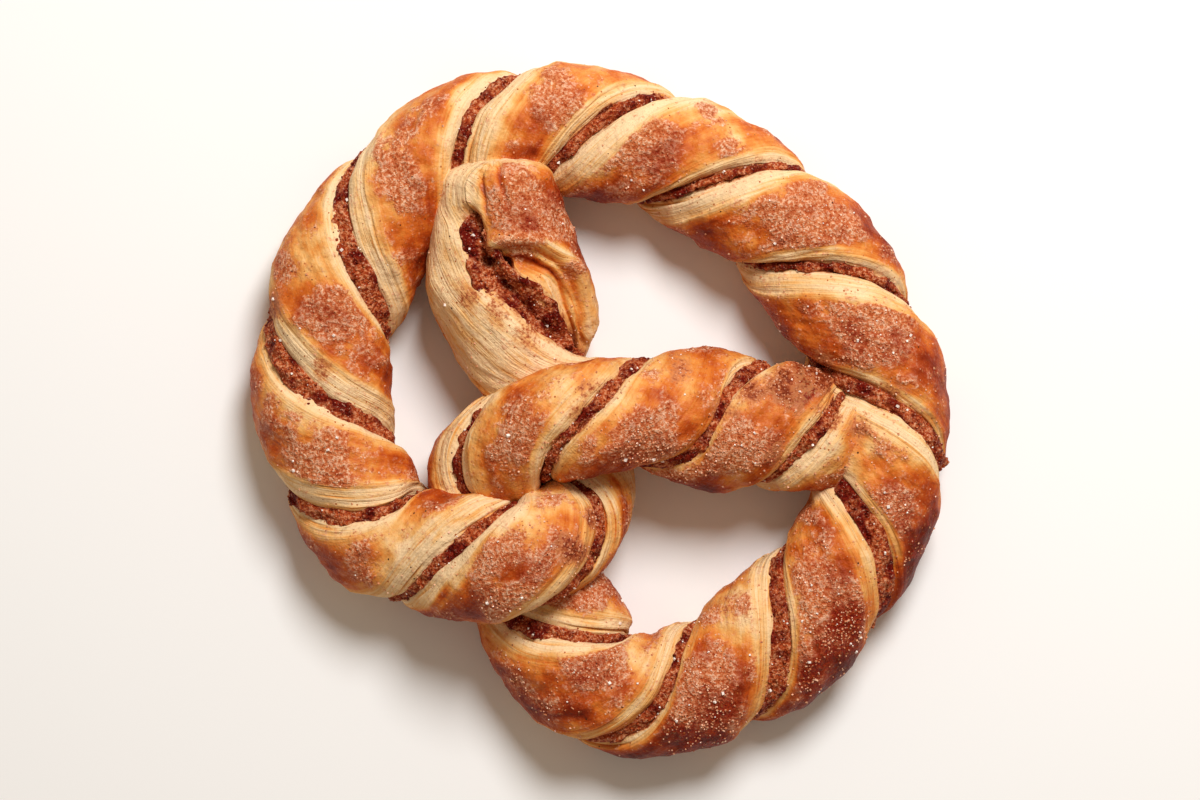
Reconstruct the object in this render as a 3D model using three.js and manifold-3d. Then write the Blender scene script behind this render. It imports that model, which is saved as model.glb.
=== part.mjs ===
// A baked pretzel of twisted, filled puff pastry, lying flat. One long strip of two pastry layers with
// a cinnamon filling between them is twisted like a rope, laid in a loop, crossed over itself twice,
// and both ends are pressed onto the loop. Millimetres, +Z up, the tray at z = 0, the origin under
// the middle.
import * as THREE from "three";
import { mergeVertices } from "three/addons/utils/BufferGeometryUtils.js";
import Module from "manifold-3d";

// The route of the strand from its first end to its second, at chosen turns of the twist: the turn in
// quarters, then x, y and z of the middle of the strand, then its half width and its half height.
// At an even quarter a filling seam lies on top of the strand, at an odd one the browned crust does.
const STATIONS = [
  [-0.45, -23, 48.5, 19.5, 11.5, 8.5], // first end, pressed onto the inside of the loop
  [-0.28, -22, 37, 16.2, 15, 11.2],
  [-0.05, -20.8, 28.5, 14, 17, 13], // the seam gapes here
  [0.6, -13.5, 8.5, 10.5, 12.8, 10.5],
  [1.8, -7.5, 0, 8, 12, 9], // under the second arm
  [3, -4, -11, 8.5, 11, 9],
  [4, -5.5, -22, 13, 10, 10.5], // the first arm turns back on itself
  [5, -16.5, -30.3, 22.5, 12.5, 10.5], // over the start of the second arm
  [7, -41.5, -28.8, 12, 13.5, 11.5],
  [8, -50.5, -22.8, 10.5, 13.3, 11.5], // the loop starts
  [10, -60.5, 3, 10.5, 14.3, 12],
  [12, -53.5, 33, 10.5, 14.3, 12],
  [14, -30, 57.5, 10.5, 12.5, 12],
  [16, -3, 59.5, 10.5, 13.5, 12],
  [18, 24.5, 49.3, 10.5, 13.3, 12],
  [20, 46.3, 30.5, 10.5, 14, 12],
  [22, 58.8, 2, 10.5, 14.2, 12],
  [24, 56, -24.5, 10.5, 13, 12],
  [26, 37, -48, 10.5, 15, 12],
  [28, 12.5, -60.5, 10.5, 12.5, 12],
  [29, -0.5, -58.5, 10.5, 14.5, 12], // the loop ends
  [30, -10, -48.3, 10, 15, 11.5],
  [31, -17.5, -33, 7.5, 13.5, 8.5], // under the first arm
  [32, -26.5, -15, 11, 11, 10.5], // the second arm turns back on itself
  [33, -17, -5.5, 20, 12, 10.5],
  [34, -5, -2, 24.3, 11.5, 10], // over the first arm
  [35, 7.5, -0.5, 20.5, 12, 10.5],
  [36, 21, -1.5, 15, 14.5, 13],
  [37, 33, -3, 14.5, 14, 12.5],
  [38, 43.5, -4, 13.6, 13, 11.2],
  [39, 53, -4.5, 11.5, 12, 9], // second end, pressed into the inside of the loop
];
const LOOP_START = 8; // quarter where the first arm runs into the loop
const LOOP_END = 29; // quarter where the loop runs into the second arm

const SECTION_SPACING = 3.3; // along the strand
const SMOOTHING = 8; // length over which the twist and the thickness even out
const SAMPLES_PER_STATION = 48;
const TRAY_DEPTH = 20; // of the block that cuts the underside flat

// The cross-section: two lobes of pastry, and the filling between them showing in a seam on each side.
// Its outline is given by the angle from one seam, and by distances in shares of the half width.
const CRUST_BULGE = 0.07; // how far the crust faces stand out
const CORNER_BULGE = 0.03; // the same for the corners between crust and cut side
const SEAM_DEPTH = 0.2;
const SEAM_WIDTH = 0.2;
const GAPE_DEPTH = 0.3; // what the gaping seam at quarter 0 has more
const GAPE_REACH = 1.3; // quarters that the gape reaches to each side
const POINTS_PER_LOBE = 11;
const CORNER_CROWDING = 0.5; // how much closer together the outline's points stand at the seams
const FILLING_ANGLE = THREE.MathUtils.degToRad(8.5); // half of what the filling takes up in a seam
const GAPE_ANGLE = THREE.MathUtils.degToRad(5); // what it takes up more in the gaping seam
const FILLING_RISE = 0.13; // of the filling above the bottom of its seam
const FILLING_THICKNESS = 2; // in the middle of the strand
const FILLING_INSET = 1; // sections from each end to the filling

const END_LENGTH = 5; // of the rounded tip past each end
const END_RINGS = 4;
const BEND_POWER = 4; // how sharply the dough bunches up on the inside of a bend
const ALMOST = 1e-6;

const UP = new THREE.Vector3(0, 0, 1);
const wasm = await Module();
wasm.setup();

// Mean of a list's values within half a window of each sample, for lists sampled at even spacing.
function evenedOut(values, halfWindow) {
  return values.map((_, i) => {
    const reach = Math.min(halfWindow, i, values.length - 1 - i);
    const near = values.slice(i - reach, i + reach + 1);
    return near.reduce((sum, value) => sum + value, 0) / near.length;
  });
}

// A column of the stations at a place between two of them.
function stationValue(position, column) {
  const below = Math.min(Math.floor(position), STATIONS.length - 2);
  return THREE.MathUtils.lerp(STATIONS[below][column], STATIONS[below + 1][column], position - below);
}

// The strand sampled at even spacing: place, quarter turns, half width and half height.
function strandSamples() {
  const curve = new THREE.CatmullRomCurve3(STATIONS.map(([, x, y, z]) => new THREE.Vector3(x, y, z)));
  const lastStation = STATIONS.length - 1;
  const fine = Array.from({ length: lastStation * SAMPLES_PER_STATION + 1 }, (_, i) => {
    const position = i / SAMPLES_PER_STATION;
    return { position, place: curve.getPoint(position / lastStation) };
  });
  let length = 0;
  fine.forEach((sample, i) => {
    if (i > 0) length += sample.place.distanceTo(fine[i - 1].place);
    sample.along = length;
  });
  const count = Math.round(length / SECTION_SPACING);
  return Array.from({ length: count + 1 }, (_, i) => {
    const along = (length * i) / count;
    const after = Math.max(1, fine.findIndex((sample) => sample.along >= along - ALMOST));
    const [a, b] = [fine[after - 1], fine[after]];
    const share = (along - a.along) / (b.along - a.along);
    const position = THREE.MathUtils.lerp(a.position, b.position, share);
    return {
      place: a.place.clone().lerp(b.place, share),
      quarters: stationValue(position, 0),
      halfWidth: stationValue(position, 4),
      halfHeight: stationValue(position, 5),
    };
  });
}

function gape(quarters) {
  return Math.exp(-((quarters / GAPE_REACH) ** 2));
}

function pastryRadius(angle, quarters) {
  const opened = Math.cos(angle) > 0 ? GAPE_DEPTH * gape(quarters) : 0;
  const seam = (SEAM_DEPTH + opened) * Math.exp(-((Math.sin(angle) / SEAM_WIDTH) ** 2));
  return 1 - CRUST_BULGE * Math.cos(2 * angle) - CORNER_BULGE * Math.cos(4 * angle) - seam;
}

// Where the filling meets the pastry, as angles on from the first seam and on to the second.
function seamCorners(quarters) {
  return [FILLING_ANGLE + GAPE_ANGLE * gape(quarters), Math.PI - FILLING_ANGLE];
}

// The outline of both pastry lobes, filled in across the seams, as angle and radius.
function strandOutline({ quarters }) {
  const [from, to] = seamCorners(quarters);
  const lobe = Array.from({ length: POINTS_PER_LOBE }, (_, i) => {
    const share = i / (POINTS_PER_LOBE - 1);
    const crowded = share - (CORNER_CROWDING * Math.sin(2 * Math.PI * share)) / (2 * Math.PI);
    return THREE.MathUtils.lerp(from, to, crowded);
  });
  const mirrored = lobe.map((angle) => -angle).reverse();
  return [0, ...lobe, Math.PI, ...mirrored].map((angle) => [angle, pastryRadius(angle, quarters)]);
}

// The outline of the filling, from one seam through the strand to the other.
function fillingOutline({ quarters, halfWidth }) {
  const [from, to] = seamCorners(quarters);
  const middle = FILLING_THICKNESS / 2 / halfWidth;
  const corner = (angle) => [angle, pastryRadius(angle, quarters)];
  const crest = (angle) => [angle, pastryRadius(angle, quarters) + FILLING_RISE];
  return [
    crest(0),
    corner(from),
    [Math.PI / 2, middle],
    corner(to),
    crest(Math.PI),
    corner(-to),
    [-Math.PI / 2, middle],
    corner(-from),
  ];
}

// Adds the direction, the bend and the smoothed sizes that each section is built from.
function sectionFrames() {
  const samples = strandSamples();
  const window = Math.round(SMOOTHING / SECTION_SPACING);
  const quarters = evenedOut(samples.map((sample) => sample.quarters), window);
  const last = samples.length - 1;
  samples.forEach((sample, i) => {
    const ahead = samples[Math.min(i + 1, last)].place;
    const behind = samples[Math.max(i - 1, 0)].place;
    sample.forward = ahead.clone().sub(behind).normalize();
    sample.left = UP.clone().cross(sample.forward).normalize();
    sample.up = sample.forward.clone().cross(sample.left);
    sample.quarters = quarters[i];
    sample.seamAngle = (Math.PI / 2) * (1 - quarters[i]);
  });
  const bends = samples.map((sample, i) => {
    const ahead = samples[Math.min(i + 1, last)];
    const behind = samples[Math.max(i - 1, 0)];
    const turn = ahead.forward.clone().sub(behind.forward).dot(sample.left);
    return turn / ahead.place.distanceTo(behind.place);
  });
  const smoothBends = evenedOut(bends, 1);
  const halfWidths = evenedOut(samples.map((sample) => sample.halfWidth), 1);
  const halfHeights = evenedOut(samples.map((sample) => sample.halfHeight), 1);
  samples.forEach((sample, i) => {
    sample.bend = smoothBends[i];
    sample.halfWidth = halfWidths[i];
    sample.halfHeight = halfHeights[i];
  });
  return samples;
}

// The points of one section. On the inside of a bend the dough bunches up short of the bend's centre.
function sectionPoints(frame, outline, scale = 1, forwardShift = 0) {
  const middle = frame.place.clone().addScaledVector(frame.forward, forwardShift);
  return outline(frame).map(([angle, radius]) => {
    const across = radius * scale * frame.halfWidth * Math.cos(frame.seamAngle + angle);
    const inward = Math.max(0, across * frame.bend);
    const held = across / (1 + inward ** BEND_POWER) ** (1 / BEND_POWER);
    const above = radius * scale * frame.halfHeight * Math.sin(frame.seamAngle + angle);
    return middle.clone().addScaledVector(frame.left, held).addScaledVector(frame.up, above);
  });
}

// The rings of points for a rounded tip, from a section outwards.
function tipRings(frame, way) {
  return Array.from({ length: END_RINGS }, (_, i) => {
    const angle = (Math.PI / 2) * ((i + 1) / (END_RINGS + 0.4));
    return sectionPoints(frame, strandOutline, Math.cos(angle), way * END_LENGTH * Math.sin(angle));
  });
}

// A closed solid through rings of points.
function solidThrough(rings) {
  const around = rings[0].length;
  const centre = (ring) => ring.reduce((sum, p) => sum.add(p), new THREE.Vector3()).divideScalar(around);
  const lastRing = (rings.length - 1) * around;
  const vertices = [...rings.flat(), centre(rings[0]), centre(rings[rings.length - 1])];
  const startCentre = rings.length * around;
  const triangles = [];
  for (let i = 0; i < around; i++) {
    const next = (i + 1) % around;
    triangles.push(startCentre, next, i);
    triangles.push(startCentre + 1, lastRing + i, lastRing + next);
    for (let a = 0; a < lastRing; a += around) {
      const b = a + around;
      triangles.push(a + i, a + next, b + next, a + i, b + next, b + i);
    }
  }
  return new wasm.Manifold(
    new wasm.Mesh({
      numProp: 3,
      vertProperties: new Float32Array(vertices.flatMap((v) => v.toArray())),
      triVerts: new Uint32Array(triangles),
    }),
  );
}

function solidFromGeometry(geometry) {
  geometry.deleteAttribute("normal");
  geometry.deleteAttribute("uv");
  const merged = mergeVertices(geometry);
  return new wasm.Manifold(
    new wasm.Mesh({
      numProp: 3,
      vertProperties: merged.attributes.position.array,
      triVerts: new Uint32Array(merged.index.array),
    }),
  );
}

function geometryFromSolid(solid) {
  const mesh = solid.getMesh();
  const geometry = new THREE.BufferGeometry();
  geometry.setAttribute("position", new THREE.BufferAttribute(mesh.vertProperties, 3));
  geometry.setIndex(new THREE.BufferAttribute(mesh.triVerts, 1));
  geometry.computeVertexNormals();
  return geometry;
}

// The first arm, the loop and the second arm, each a solid of its own, joined where they touch.
function joinedRuns(runs) {
  return runs.map(solidThrough).reduce((joined, run) => joined.add(run));
}

// Where strands touch, the join can seal a speck of air or cut off a crumb: only the main body stays.
function mainBody(solid) {
  return solid.decompose().reduce((main, body) => (body.volume() > main.volume() ? body : main));
}

function pretzelSolids() {
  const frames = sectionFrames();
  const cuts = [LOOP_START, LOOP_END].map((at) => frames.findIndex((frame) => frame.quarters >= at));
  const split = (rings, before) => {
    const [start, end] = cuts.map((cut) => cut - before);
    return [rings.slice(0, start + 1), rings.slice(start, end + 1), rings.slice(end)];
  };
  const strandRings = frames.map((frame) => sectionPoints(frame, strandOutline));
  const [firstArm, loop, secondArm] = split(strandRings, 0);
  firstArm.unshift(...tipRings(frames[0], -1).reverse());
  secondArm.push(...tipRings(frames[frames.length - 1], 1));
  const filled = frames.slice(FILLING_INSET, -FILLING_INSET);
  const fillingRings = filled.map((frame) => sectionPoints(frame, fillingOutline));

  const tray = solidFromGeometry(
    new THREE.BoxGeometry(400, 400, TRAY_DEPTH).translate(0, 0, -TRAY_DEPTH / 2),
  );
  const filling = mainBody(joinedRuns(split(fillingRings, FILLING_INSET)).subtract(tray));
  const strands = joinedRuns([firstArm, loop, secondArm]).subtract(tray);
  return { pastry: mainBody(strands.subtract(filling)), filling };
}

function namedMesh(name, solid, color, roughness) {
  const material = new THREE.MeshStandardMaterial({ color, roughness, metalness: 0 });
  const mesh = new THREE.Mesh(geometryFromSolid(solid), material);
  mesh.name = name;
  return mesh;
}

const { pastry, filling } = pretzelSolids();
const part = new THREE.Group();
part.add(namedMesh("pastry", pastry, 0xd49a5a, 0.6));
part.add(namedMesh("cinnamon_filling", filling, 0x8a4526, 0.8));
export default part;
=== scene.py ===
import math

import bpy
import numpy as np
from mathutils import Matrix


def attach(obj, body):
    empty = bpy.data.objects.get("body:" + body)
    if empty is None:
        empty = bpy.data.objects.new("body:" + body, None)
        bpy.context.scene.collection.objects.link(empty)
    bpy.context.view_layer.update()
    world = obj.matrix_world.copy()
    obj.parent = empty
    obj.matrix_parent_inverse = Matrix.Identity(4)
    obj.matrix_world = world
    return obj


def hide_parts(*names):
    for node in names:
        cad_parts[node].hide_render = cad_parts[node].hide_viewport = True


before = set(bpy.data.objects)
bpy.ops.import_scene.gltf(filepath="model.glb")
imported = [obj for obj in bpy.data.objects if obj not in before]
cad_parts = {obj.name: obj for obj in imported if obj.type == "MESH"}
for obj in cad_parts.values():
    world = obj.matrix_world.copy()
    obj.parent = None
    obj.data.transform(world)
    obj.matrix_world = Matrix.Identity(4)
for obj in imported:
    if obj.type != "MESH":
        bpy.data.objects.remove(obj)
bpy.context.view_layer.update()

# Lengths here are in millimetres, and the scene's in metres.
MM = 0.001
METRE = 1000

# The route of the strand, as in the part's own source: quarter turns of the twist, then x, y and z of
# the middle of the strand, its half width and its half height, in millimetres. A filling seam lies on
# top at an even quarter, the browned crust at an odd one.
STATIONS = np.array([
    [-0.45, -23, 48.5, 19.5, 11.5, 8.5],
    [-0.28, -22, 37, 16.2, 15, 11.2],
    [-0.05, -20.8, 28.5, 14, 17, 13],
    [0.6, -13.5, 8.5, 10.5, 12.8, 10.5],
    [1.8, -7.5, 0, 8, 12, 9],
    [3, -4, -11, 8.5, 11, 9],
    [4, -5.5, -22, 13, 10, 10.5],
    [5, -16.5, -30.3, 22.5, 12.5, 10.5],
    [7, -41.5, -28.8, 12, 13.5, 11.5],
    [8, -50.5, -22.8, 10.5, 13.3, 11.5],
    [10, -60.5, 3, 10.5, 14.3, 12],
    [12, -53.5, 33, 10.5, 14.3, 12],
    [14, -30, 57.5, 10.5, 12.5, 12],
    [16, -3, 59.5, 10.5, 13.5, 12],
    [18, 24.5, 49.3, 10.5, 13.3, 12],
    [20, 46.3, 30.5, 10.5, 14, 12],
    [22, 58.8, 2, 10.5, 14.2, 12],
    [24, 56, -24.5, 10.5, 13, 12],
    [26, 37, -48, 10.5, 15, 12],
    [28, 12.5, -60.5, 10.5, 12.5, 12],
    [29, -0.5, -58.5, 10.5, 14.5, 12],
    [30, -10, -48.3, 10, 15, 11.5],
    [31, -17.5, -33, 7.5, 13.5, 8.5],
    [32, -26.5, -15, 11, 11, 10.5],
    [33, -17, -5.5, 20, 12, 10.5],
    [34, -5, -2, 24.3, 11.5, 10],
    [35, 7.5, -0.5, 20.5, 12, 10.5],
    [36, 21, -1.5, 15, 14.5, 13],
    [37, 33, -3, 14.5, 14, 12.5],
    [38, 43.5, -4, 13.6, 13, 11.2],
    [39, 53, -4.5, 11.5, 12, 9],
])

# Quarter turns at which the big loop leaves the first arm and meets the second.
LOOP_START = 8
LOOP_END = 29

# How finely the strand is made, in mm along it and in points around a layer or across a filling crest.
COARSE = 1
RING_SPACING = 0.75 * COARSE
RIBBON_SPACING = 0.42 * COARSE
OUTER_POINTS = 104 // COARSE
CREST_POINTS = 25

# How far the twist and the sizes are evened out along the strand, and its rounded tips, in mm.
TWIST_SMOOTHING = 6.6
SIZE_SMOOTHING = 3.3
END_LENGTH = 5.0
END_RINGS = 10

# Where each layer of pastry reads the noise, so that the two differ.
LAYER_NOISE = (0.0, 5.5)

# How sharply the inside of a tight bend is held back from crossing the bend's middle.
BEND_POWER = 4

# The section, in shares of its half width: two bulging lobes with a seam between them at each side, and
# the seam of the first end, which gapes.
CRUST_BULGE = 0.07
CORNER_BULGE = 0.03
SEAM_DEPTH = 0.2
SEAM_WIDTH = 0.2
GAPE_DEPTH = 0.3
GAPE_REACH = 1.3
FILLING_ANGLE = math.radians(8.5)
GAPE_ANGLE = math.radians(5)

# The pretzel has browned most towards its lower right corner: the way there, seen from above.
HOT_SIDE = (0.75, -0.66)


# ---------------------------------------------------------------- noise
def scrambled(cells, seed):
    """A whole number for each cell of a grid, as good as random."""
    h = cells[..., 0] * 73856093 ^ cells[..., 1] * 19349663 ^ cells[..., 2] * 83492791 ^ (seed * 7919 + 131)
    h = (h ^ (h >> 13)) * 1274126177 & 0x7FFFFFFF
    return (h ^ (h >> 15)) * 668265263 & 0x7FFFFFFF


def noise(x, y, z, seed):
    """Smooth gradient noise from about -1 to 1, one bump to a unit."""
    p = np.stack(np.broadcast_arrays(x, y, z), axis=-1).astype(float)
    cell = np.floor(p).astype(np.int64)
    f = p - cell
    s = f * f * f * (f * (f * 6 - 15) + 10)
    total = np.zeros(p.shape[:-1])
    for corner in np.ndindex(2, 2, 2):
        h = scrambled(cell + corner, seed)
        slope = np.stack([h & 1023, h >> 10 & 1023, h >> 20 & 1023], axis=-1) / 511.5 - 1
        share = np.prod(np.where(corner, s, 1 - s), axis=-1)
        total += share * np.sum(slope * (f - corner), axis=-1)
    return total * 1.5


def smoothstep(low, high, x):
    """From 0 at low to 1 at high, level at both."""
    t = np.clip((x - low) / (high - low), 0, 1)
    return t * t * (3 - 2 * t)


# ---------------------------------------------------------------- the strand's route
def route(spacing):
    """The strand sampled finely: lengths along it, places, and the station columns that go with them."""
    points = STATIONS[:, 1:4]
    padded = np.vstack([2 * points[0] - points[1], points, 2 * points[-1] - points[-2]])
    steps = 48
    t = np.arange(steps)[:, None] / steps
    places, columns = [], []
    for i in range(len(points) - 1):
        p0, p1, p2, p3 = padded[i:i + 4]
        d0, d1, d2 = (max(np.linalg.norm(b - a) ** 0.5, 1e-4) for a, b in ((p0, p1), (p1, p2), (p2, p3)))
        m1 = ((p1 - p0) / d0 - (p2 - p0) / (d0 + d1) + (p2 - p1) / d1) * d1
        m2 = ((p2 - p1) / d1 - (p3 - p1) / (d1 + d2) + (p3 - p2) / d2) * d1
        c2 = -3 * p1 + 3 * p2 - 2 * m1 - m2
        c3 = 2 * p1 - 2 * p2 + m1 + m2
        places.append(p1 + m1 * t + c2 * t ** 2 + c3 * t ** 3)
        columns.append(STATIONS[i, [0, 4, 5]] * (1 - t) + STATIONS[i + 1, [0, 4, 5]] * t)
    places = np.vstack(places + [points[-1:]])
    columns = np.vstack(columns + [STATIONS[-1:, [0, 4, 5]]])
    along = np.concatenate([[0], np.cumsum(np.linalg.norm(np.diff(places, axis=0), axis=1))])
    count = round(along[-1] / spacing)
    at = np.linspace(0, along[-1], count + 1)
    even = lambda values: np.stack([np.interp(at, along, v) for v in values.T], axis=1)
    return at, even(places), even(columns)


def evened_out(values, half):
    """Mean of the values within so many entries to each side."""
    sums = np.cumsum(np.concatenate([np.zeros((1,) + values.shape[1:]), values]), axis=0)
    i = np.arange(len(values))
    reach = np.minimum(half, np.minimum(i, len(values) - 1 - i))
    near = (2 * reach + 1).reshape((-1,) + (1,) * (values.ndim - 1))
    return (sums[i + reach + 1] - sums[i - reach]) / near


def central(values, half):
    """Difference of the values so many entries ahead and behind."""
    i = np.arange(len(values))
    return values[np.minimum(i + half, len(values) - 1)] - values[np.maximum(i - half, 0)]


class Strand:
    """The sections' places, directions, turn and sizes, one entry for each ring."""

    def __init__(self, spacing):
        self.along, self.place, columns = route(spacing)
        near, far = round(SIZE_SMOOTHING / spacing), round(TWIST_SMOOTHING / spacing)
        forward = central(self.place, near)
        self.forward = forward / np.linalg.norm(forward, axis=1, keepdims=True)
        left = np.cross([0, 0, 1], self.forward)
        self.left = left / np.linalg.norm(left, axis=1, keepdims=True)
        self.up = np.cross(self.forward, self.left)
        self.quarters = evened_out(columns[:, 0], far)
        self.seam_angle = math.pi / 2 * (1 - self.quarters)
        turn = np.sum(central(self.forward, near) * self.left, axis=1)
        apart = np.linalg.norm(central(self.place, near), axis=1)
        self.bend = evened_out(turn / apart, near)
        self.half_width = evened_out(columns[:, 1], near)
        self.half_height = evened_out(columns[:, 2], near)
        self.gape = np.exp(-(self.quarters / GAPE_REACH) ** 2)
        self.closed = smoothstep(8, 2, self.along)

    def tips(self):
        """Adds rounded tips: rings that move outwards and shrink. Returns each ring's entry in the strand,
        its shift and its scale."""
        a = np.linspace(0, math.pi / 2, END_RINGS + 1)[1:]
        out = END_LENGTH * np.sin(a)
        shift = np.concatenate([-out[::-1], np.zeros(len(self.along)), out])
        scale = np.concatenate([np.cos(a)[::-1], np.ones(len(self.along)), np.cos(a)])
        ring = np.concatenate([np.zeros(END_RINGS, int), np.arange(len(self.along)),
                               np.full(END_RINGS, len(self.along) - 1)])
        return ring, shift, scale

    def surface(self, angle, radius, ring, shift, scale):
        """Points at section angles (from the seam) and radii (in half widths)."""
        turned = self.seam_angle[ring, None] + angle
        radius = radius * scale[:, None]
        across = radius * self.half_width[ring, None] * np.cos(turned)
        inward = np.maximum(0, across * self.bend[ring, None])
        held = across / (1 + inward ** BEND_POWER) ** (1 / BEND_POWER)
        above = radius * self.half_height[ring, None] * np.sin(turned)
        middle = self.place[ring] + self.forward[ring] * shift[:, None]
        sideways = held[..., None] * self.left[ring, None]
        return middle[:, None] + sideways + above[..., None] * self.up[ring, None]


def pastry_radius(angle, gape, closed=0):
    """The section's radius at an angle from the seam. gape, closed: how far the seam gapes or is shut."""
    opened = np.where(np.cos(angle) > 0, GAPE_DEPTH * gape, 0)
    seam = (1 - closed) * (SEAM_DEPTH + opened) * np.exp(-(np.sin(angle) / SEAM_WIDTH) ** 2)
    return 1 - CRUST_BULGE * np.cos(2 * angle) - CORNER_BULGE * np.cos(4 * angle) - seam


def surface_normals(points):
    """Outward normals of a grid of points, rings first, columns anticlockwise about the way forward."""
    down = np.gradient(points, axis=0)
    around = np.gradient(points, axis=1)
    normal = np.cross(around, down)
    return normal / np.maximum(np.linalg.norm(normal, axis=-1, keepdims=True), 1e-9)


# ---------------------------------------------------------------- meshes
def deselect():
    if bpy.context.object and bpy.context.object.mode != "OBJECT":
        bpy.ops.object.mode_set(mode="OBJECT")
    bpy.ops.object.select_all(action="DESELECT")


def rolled(name, points, maps):
    """A sheet with a row for each ring, rolled up to those points. Its last column meets the first, and
    each end is gathered to a point."""
    deselect()
    rows, columns = points.shape[:2]
    bpy.ops.mesh.primitive_grid_add(x_subdivisions=columns - 1, y_subdivisions=rows - 1, size=1)
    sheet = bpy.context.object
    sheet.name = name
    mesh = sheet.data
    flat = np.empty(len(mesh.vertices) * 3, np.float32)
    mesh.vertices.foreach_get("co", flat)
    flat = flat.reshape(-1, 3)
    column = np.rint((flat[:, 0] + 0.5) * (columns - 1)).astype(int)
    row = np.rint((flat[:, 1] + 0.5) * (rows - 1)).astype(int)
    mesh.vertices.foreach_set("co", (points[row, column] * MM).astype(np.float32).ravel())
    corner = np.empty(len(mesh.loops), np.int32)
    mesh.loops.foreach_get("vertex_index", corner)
    for old in list(mesh.uv_layers):
        mesh.uv_layers.remove(old)
    for label, values in maps.items():
        layer = mesh.uv_layers.new(name=label)
        layer.data.foreach_set("uv", values[row, column][corner].astype(np.float32).ravel())
    bpy.ops.object.mode_set(mode="EDIT")
    bpy.ops.mesh.select_all(action="SELECT")
    bpy.ops.mesh.remove_doubles(threshold=1e-7)
    bpy.ops.mesh.normals_make_consistent(inside=False)
    bpy.ops.object.mode_set(mode="OBJECT")
    return sheet


def joined(pieces):
    """One closed piece of several that meet or press into each other."""
    first, *others = pieces
    for other in others:
        deselect()
        bpy.context.view_layer.objects.active = first
        first.select_set(True)
        join = first.modifiers.new("join", "BOOLEAN")
        join.operation = "UNION"
        join.solver = "MANIFOLD"
        join.object = other
        bpy.ops.object.modifier_apply(modifier=join.name)
        bpy.data.objects.remove(other)
    return first


def gathered(ring):
    """A ring's points all drawn in to their middle, or nothing where they meet already."""
    middle = ring.mean(axis=0)
    if np.abs(ring - middle).max() < 1e-6:
        return np.empty((0,) + ring.shape)
    return np.broadcast_to(middle, (1,) + ring.shape)


def rope(name, points, maps, ring, strand):
    """The strand's runs rolled one by one and joined, so that it lies on itself as one closed piece."""
    quarters = strand.quarters[ring]
    start, end = (int(np.argmax(quarters >= at)) for at in (LOOP_START, LOOP_END))
    runs = []
    for i, (a, b) in enumerate([(0, start + 1), (start, end + 1), (end, len(ring))]):
        part = points[a:b]
        first, last = gathered(part[0]), gathered(part[-1])
        whole = np.concatenate([first, part, last])
        rows = np.clip(np.arange(-len(first), len(part) + len(last)), 0, len(part) - 1)
        runs.append(rolled(f"{name}_{i}", whole, {k: v[a:b][rows] for k, v in maps.items()}))
    made = joined(runs)
    made.name = name
    made.data.name = name
    return made


# ---------------------------------------------------------------- what shows where, seen from above
# The cut side next to each seam, in mm along the surface, by the quarter turns of the twist: next to the
# seam that the layer leads with, and next to the one that it ends on.
CUT_QUARTERS = [-0.4, 1, 2.5, 4, 6, 8, 20, 22, 24, 28, 31, 32, 33, 34, 35, 36, 37, 38, 39]
CUT_LEADING = [28, 28, 20, 11, 10, 11, 9, 10, 9, 8.5, 9, 8, 5, 2, 3, 5, 5, 7, 8]
CUT_ENDING = [4, 6, 8, 8, 6, 6, 5, 5.5, 5, 4.5, 6, 7, 6.5, 5, 3.5, 5, 6, 6, 6]

# The same for the second layer along the first end, where the seam gapes.
GAPING_CUT_QUARTERS = [-0.4, -0.2, 0, 0.6, 2]
GAPING_CUT_LEADING = 6
GAPING_CUT_ENDING = [2, 5, 11, 12, 8]

# How far cinnamon is strewn beside the seams, in mm, by the quarter turns.
STREWN_QUARTERS = [-0.45, -0.3, 0, 0.5, 1.3, 2]
STREWN = [2, 7, 10, 7, 4, 2.4]

# Where cinnamon has spilt over the pastry: x, y, radius in mm, and how thickly.
SPILLS = [(-28.5, 24.5, 4.5, 0.5), (-23, 21, 4, 0.5), (-16, 16.5, 5, 0.55), (45, 7.5, 5, 1),
          (38, 5.5, 5, 0.9), (31, 4, 4, 0.8), (25, 0, 3.5, 0.7), (-6, 0, 3.5, 0.55), (-3, 5, 3.5, 0.55),
          (40, 3, 4.5, 0.55), (47, -1.5, 4.5, 0.6), (54, -3.5, 4, 0.6), (36, -9, 3.5, 0.55),
          (16, 9, 4, 0.55), (60, 3, 4, 0.55), (-7, -29, 4, 1), (-3, -22.5, 3, 0.8), (-60, 9, 3.5, 0.6),
          (-71, 22, 3.5, 0.7)]

# Where sugar lies thick on the crust: x, y and radius in mm.
SUGARED = [(-15, -41, 9), (-4, -37, 7), (9, -7, 10), (-17, -5, 7), (28, -8, 7), (-13, 41, 9), (-56, 21, 8),
           (-57, -13, 8), (-9, 64, 7), (8, 56, 8), (27, 51, 7), (42, 40, 9), (57, 16, 9), (49, -42, 10),
           (20, -60, 12), (-2, -54, 8), (38, -54, 8), (58, -22, 7), (-42, 48, 6), (-22, -30, 6)]

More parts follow.
